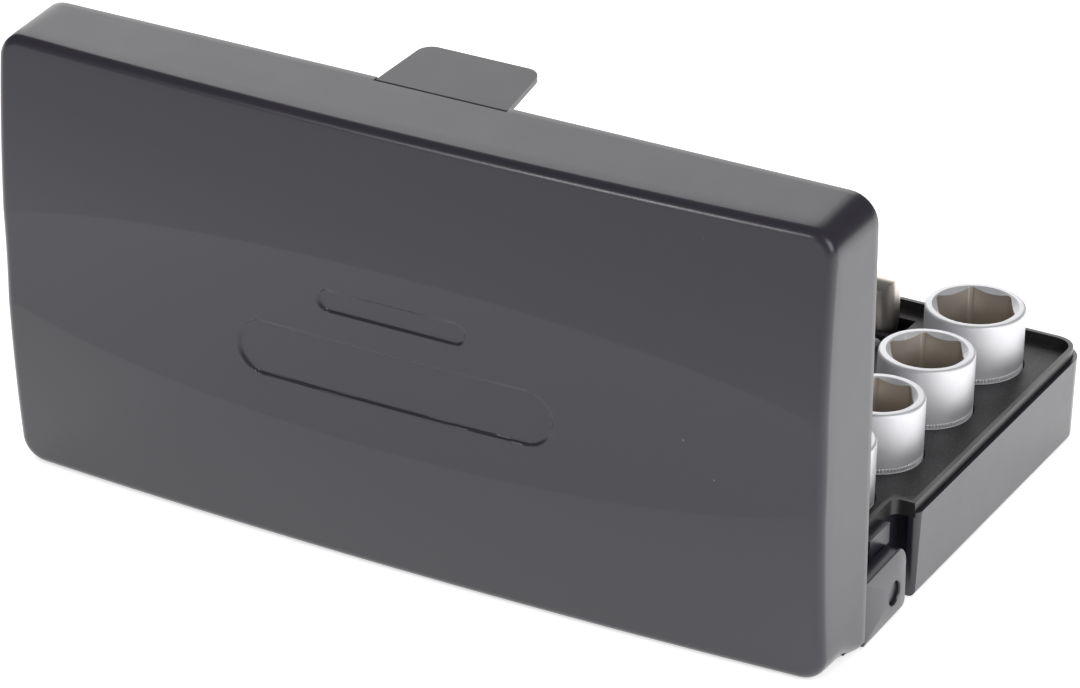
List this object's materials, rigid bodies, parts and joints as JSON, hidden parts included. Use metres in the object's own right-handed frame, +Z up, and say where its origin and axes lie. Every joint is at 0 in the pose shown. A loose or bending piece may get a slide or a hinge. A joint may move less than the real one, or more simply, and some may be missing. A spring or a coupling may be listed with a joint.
{
  "type": "socket set case",
  "caption": "Hinged flat case that stands open and holds a quarter-inch-drive socket set: sockets, ratchet, bars, bit adapter and spinner handle in a fitted insert.",
  "frame": {"origin": "middle of the tray's underside, on the surface that the case stands on", "axes": "+X along the hinge, +Y from the latch side to the hinge side, +Z up"},
  "size_m": [0.17, 0.1195, 0.0913],
  "materials": {
    "shell": "satin, light grey",
    "insert": "dull charcoal",
    "bright_steel": "satin chrome plating",
    "plain_steel": "bare steel",
    "grip_steel": "satin steel",
    "handle_plastic": "glossy dark grey"
  },
  "bodies": {
    "case": {"tray_shell": "shell", "tool_insert": "insert", "insert_rim": "insert"},
    "lid": {"lid_shell": "shell"},
    "latch": {"latch_flap": "shell"},
    "loose_socket_14": {"socket_14": "bright_steel"},
    "loose_socket_13": {"socket_13": "bright_steel"},
    "loose_socket_12": {"socket_12": "bright_steel"},
    "loose_socket_11": {"socket_11": "bright_steel"},
    "loose_socket_10": {"socket_10": "bright_steel"},
    "loose_socket_9": {"socket_9": "bright_steel"},
    "loose_socket_8": {"socket_8": "bright_steel"},
    "loose_socket_7": {"socket_7": "bright_steel"},
    "loose_socket_6": {"socket_6": "bright_steel"},
    "loose_socket_5_5": {"socket_5_5": "bright_steel"},
    "loose_socket_5": {"socket_5": "bright_steel"},
    "loose_socket_4_5": {"socket_4_5": "bright_steel"},
    "loose_socket_4": {"socket_4": "bright_steel"},
    "ratchet": {"ratchet_body": "bright_steel", "cover_plate": "plain_steel", "cover_screws": "plain_steel", "pawl": "plain_steel", "ratchet_grip": "grip_steel"},
    "ratchet_drive": {"drive_gear": "bright_steel", "drive_gear_ball": "bright_steel"},
    "ratchet_lever": {"reverse_lever": "bright_steel"},
    "loose_long_bar": {"long_bar": "bright_steel", "long_bar_ball": "bright_steel"},
    "loose_short_bar": {"short_bar": "bright_steel", "short_bar_ball": "bright_steel"},
    "loose_adapter": {"bit_adapter": "bright_steel"},
    "spinner": {"spinner_handle": "handle_plastic", "spinner_blade": "bright_steel", "spinner_ball": "bright_steel"}
  },
  "joints": [
    {"name": "lid_hinge", "type": "hinge", "parent": "case", "child": "lid", "pos_m": [0, 0.04, 0.00542], "axis": [-1, 0, 0], "range_deg": [-92, 0]},
    {"name": "latch_pivot", "type": "hinge", "parent": "lid", "child": "latch", "pos_m": [0, 0.05581, 0.08915], "axis": [-1, 0, 0], "range_deg": [-3.5, 90]},
    {"name": "socket_14_lift", "type": "slide", "parent": "case", "child": "loose_socket_14", "axis": [0, 0, 1], "range_m": [0, 0.034]},
    {"name": "socket_13_lift", "type": "slide", "parent": "case", "child": "loose_socket_13", "axis": [0, 0, 1], "range_m": [0, 0.034]},
    {"name": "socket_12_lift", "type": "slide", "parent": "case", "child": "loose_socket_12", "axis": [0, 0, 1], "range_m": [0, 0.034]},
    {"name": "socket_11_lift", "type": "slide", "parent": "case", "child": "loose_socket_11", "axis": [0, 0, 1], "range_m": [0, 0.034]},
    {"name": "socket_10_lift", "type": "slide", "parent": "case", "child": "loose_socket_10", "axis": [0, 0, 1], "range_m": [0, 0.034]},
    {"name": "socket_9_lift", "type": "slide", "parent": "case", "child": "loose_socket_9", "axis": [0, 0, 1], "range_m": [0, 0.034]},
    {"name": "socket_8_lift", "type": "slide", "parent": "case", "child": "loose_socket_8", "axis": [0, 0, 1], "range_m": [0, 0.034]},
    {"name": "socket_7_lift", "type": "slide", "parent": "case", "child": "loose_socket_7", "axis": [0, 0, 1], "range_m": [0, 0.034]},
    {"name": "socket_6_lift", "type": "slide", "parent": "case", "child": "loose_socket_6", "axis": [0, 0, 1], "range_m": [0, 0.034]},
    {"name": "socket_5_5_lift", "type": "slide", "parent": "case", "child": "loose_socket_5_5", "axis": [0, 0, 1], "range_m": [0, 0.034]},
    {"name": "socket_5_lift", "type": "slide", "parent": "case", "child": "loose_socket_5", "axis": [0, 0, 1], "range_m": [0, 0.034]},
    {"name": "socket_4_5_lift", "type": "slide", "parent": "case", "child": "loose_socket_4_5", "axis": [0, 0, 1], "range_m": [0, 0.034]},
    {"name": "socket_4_lift", "type": "slide", "parent": "case", "child": "loose_socket_4", "axis": [0, 0, 1], "range_m": [0, 0.034]},
    {"name": "ratchet_lift", "type": "slide", "parent": "case", "child": "ratchet", "axis": [0, 0, 1], "range_m": [0, 0.034]},
    {"name": "drive_turn", "type": "hinge", "parent": "ratchet", "child": "ratchet_drive", "pos_m": [0.0597, -0.0356, 0.0198], "axis": [0, 1, 0], "continuous": true},
    {"name": "lever_turn", "type": "hinge", "parent": "ratchet", "child": "ratchet_lever", "pos_m": [0.0491, -0.0356, 0.0198], "axis": [0, 1, 0], "range_deg": [-15, 15]},
    {"name": "long_bar_lift", "type": "slide", "parent": "case", "child": "loose_long_bar", "axis": [0, 0, 1], "range_m": [0, 0.034]},
    {"name": "short_bar_lift", "type": "slide", "parent": "case", "child": "loose_short_bar", "axis": [0, 0, 1], "range_m": [0, 0.034]},
    {"name": "adapter_lift", "type": "slide", "parent": "case", "child": "loose_adapter", "axis": [0, 0, 1], "range_m": [0, 0.034]},
    {"name": "spinner_lift", "type": "slide", "parent": "case", "child": "spinner", "axis": [0, 0, 1], "range_m": [0, 0.034]}
  ]
}
